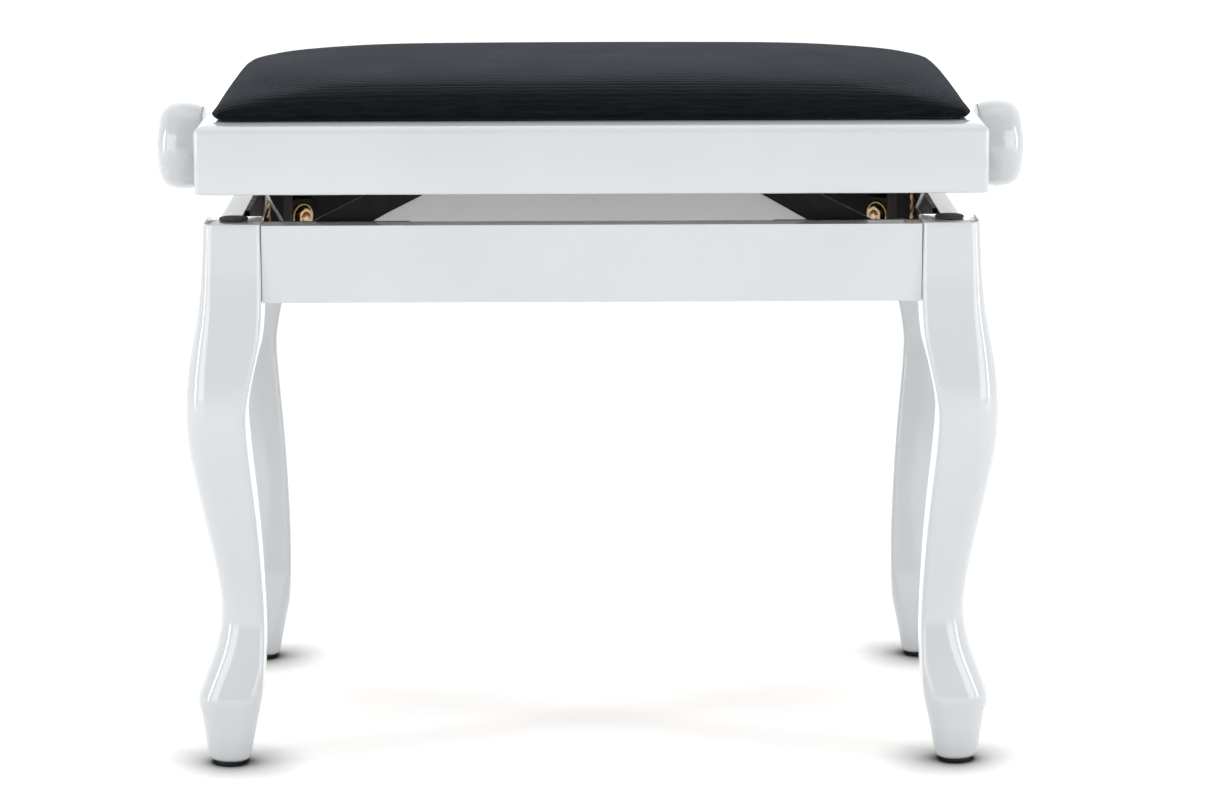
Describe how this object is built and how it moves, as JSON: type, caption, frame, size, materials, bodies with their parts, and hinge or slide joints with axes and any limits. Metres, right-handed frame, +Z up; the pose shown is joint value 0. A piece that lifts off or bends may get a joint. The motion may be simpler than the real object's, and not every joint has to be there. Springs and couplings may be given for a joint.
{
  "type": "piano bench",
  "caption": "Height-adjustable piano bench: cabriole legs and aprons, mitred seat frame with padded cushion, crossed-arm lift driven by a spindle with a knob at each end.",
  "frame": {"origin": "on the floor under the middle of the seat, bottom centre of the bounding box", "axes": "+X along the length of the seat, towards the player's right; +Y towards the rear; +Z up"},
  "size_m": [0.6194, 0.3426, 0.4818],
  "materials": {
    "white_lacquer": "hardwood under a high-gloss white polyester lacquer",
    "black_velour": "black short-pile velour over foam, faint sheen across the seat",
    "rubber": "black rubber, matt",
    "softwood": "stained softwood block, unpolished",
    "plywood": "raw birch plywood",
    "black_steel": "pressed steel, satin black paint",
    "yellow_zinc": "yellow-passivated zinc plating on steel, iridescent",
    "bright_steel": "bright drawn steel with a rolled thread",
    "black_plastic": "moulded black nylon"
  },
  "bodies": {
    "base": {"leg_front_left": "white_lacquer", "leg_front_right": "white_lacquer", "leg_rear_left": "white_lacquer", "leg_rear_right": "white_lacquer", "glide_front_left": "rubber", "glide_front_right": "rubber", "glide_rear_left": "rubber", "glide_rear_right": "rubber", "bump_pad_front_left": "rubber", "bump_pad_front_right": "rubber", "bump_pad_rear_left": "rubber", "bump_pad_rear_right": "rubber", "apron_front": "white_lacquer", "apron_rear": "white_lacquer", "apron_left": "white_lacquer", "apron_right": "white_lacquer", "corner_block_front_left": "softwood", "corner_block_front_right": "softwood", "corner_block_rear_left": "softwood", "corner_block_rear_right": "softwood", "gusset_plate_front_left": "black_steel", "gusset_plate_front_right": "black_steel", "gusset_plate_rear_left": "black_steel", "gusset_plate_rear_right": "black_steel", "gusset_bolt_front_left": "yellow_zinc", "gusset_bolt_front_right": "yellow_zinc", "gusset_bolt_rear_left": "yellow_zinc", "gusset_bolt_rear_right": "yellow_zinc", "low_pivot_stud_front": "yellow_zinc", "low_pivot_stud_rear": "yellow_zinc", "side_plate_left": "black_steel", "side_plate_right": "black_steel"},
    "seat": {"seat_rail_front": "white_lacquer", "seat_rail_rear": "white_lacquer", "seat_rail_left": "white_lacquer", "seat_rail_right": "white_lacquer", "seat_board": "plywood", "cushion": "black_velour", "seat_bracket_front_left": "black_steel", "seat_bracket_front_right": "black_steel", "seat_bracket_rear_left": "black_steel", "seat_bracket_rear_right": "black_steel", "high_pivot_stud_front": "yellow_zinc", "high_pivot_stud_rear": "yellow_zinc", "spindle_bush_left": "black_plastic", "spindle_bush_right": "black_plastic"},
    "lift_arms_low": {"low_arm_front": "black_steel", "low_arm_rear": "black_steel", "low_arm_tube": "black_steel", "crossing_pin_front": "yellow_zinc", "crossing_pin_rear": "yellow_zinc"},
    "lift_arms_high": {"high_arm_front": "black_steel", "high_arm_rear": "black_steel", "high_arm_tube": "black_steel"},
    "spindle": {"spindle": "bright_steel", "knob_ferrule_left": "black_plastic", "knob_ferrule_right": "black_plastic", "knob_left": "white_lacquer", "knob_right": "white_lacquer"},
    "fork_nut": {"fork_nut": "bright_steel"}
  },
  "joints": [
    {"name": "seat_lift", "type": "slide", "parent": "base", "child": "seat", "axis": [0, 0, 1], "range_m": [-0.018, 0.08]},
    {"name": "low_arm_swing", "type": "hinge", "parent": "base", "child": "lift_arms_low", "pos_m": [-0.213, 0, 0.373], "axis": [0, -1, 0], "range_deg": [-2.6, 11.1]},
    {"name": "high_arm_swing", "type": "hinge", "parent": "seat", "child": "lift_arms_high", "pos_m": [-0.213, 0, 0.435], "axis": [0, 1, 0], "range_deg": [-2.6, 11.1]},
    {"name": "spindle_turn", "type": "hinge", "parent": "seat", "child": "spindle", "pos_m": [0, 0, 0.417], "axis": [1, 0, 0], "range_deg": [-487, 2161]},
    {"name": "fork_nut_travel", "type": "slide", "parent": "seat", "child": "fork_nut", "axis": [-1, 0, 0], "range_m": [-0.0042, 0.0182]}
  ],
  "couplings": [
    {"joint": "low_arm_swing", "follows": "seat_lift", "rad_per_m": 2.391},
    {"joint": "high_arm_swing", "follows": "seat_lift", "rad_per_m": 2.391},
    {"joint": "spindle_turn", "follows": "seat_lift", "rad_per_m": 471.24},
    {"joint": "fork_nut_travel", "follows": "seat_lift", "ratio": 0.225}
  ]
}
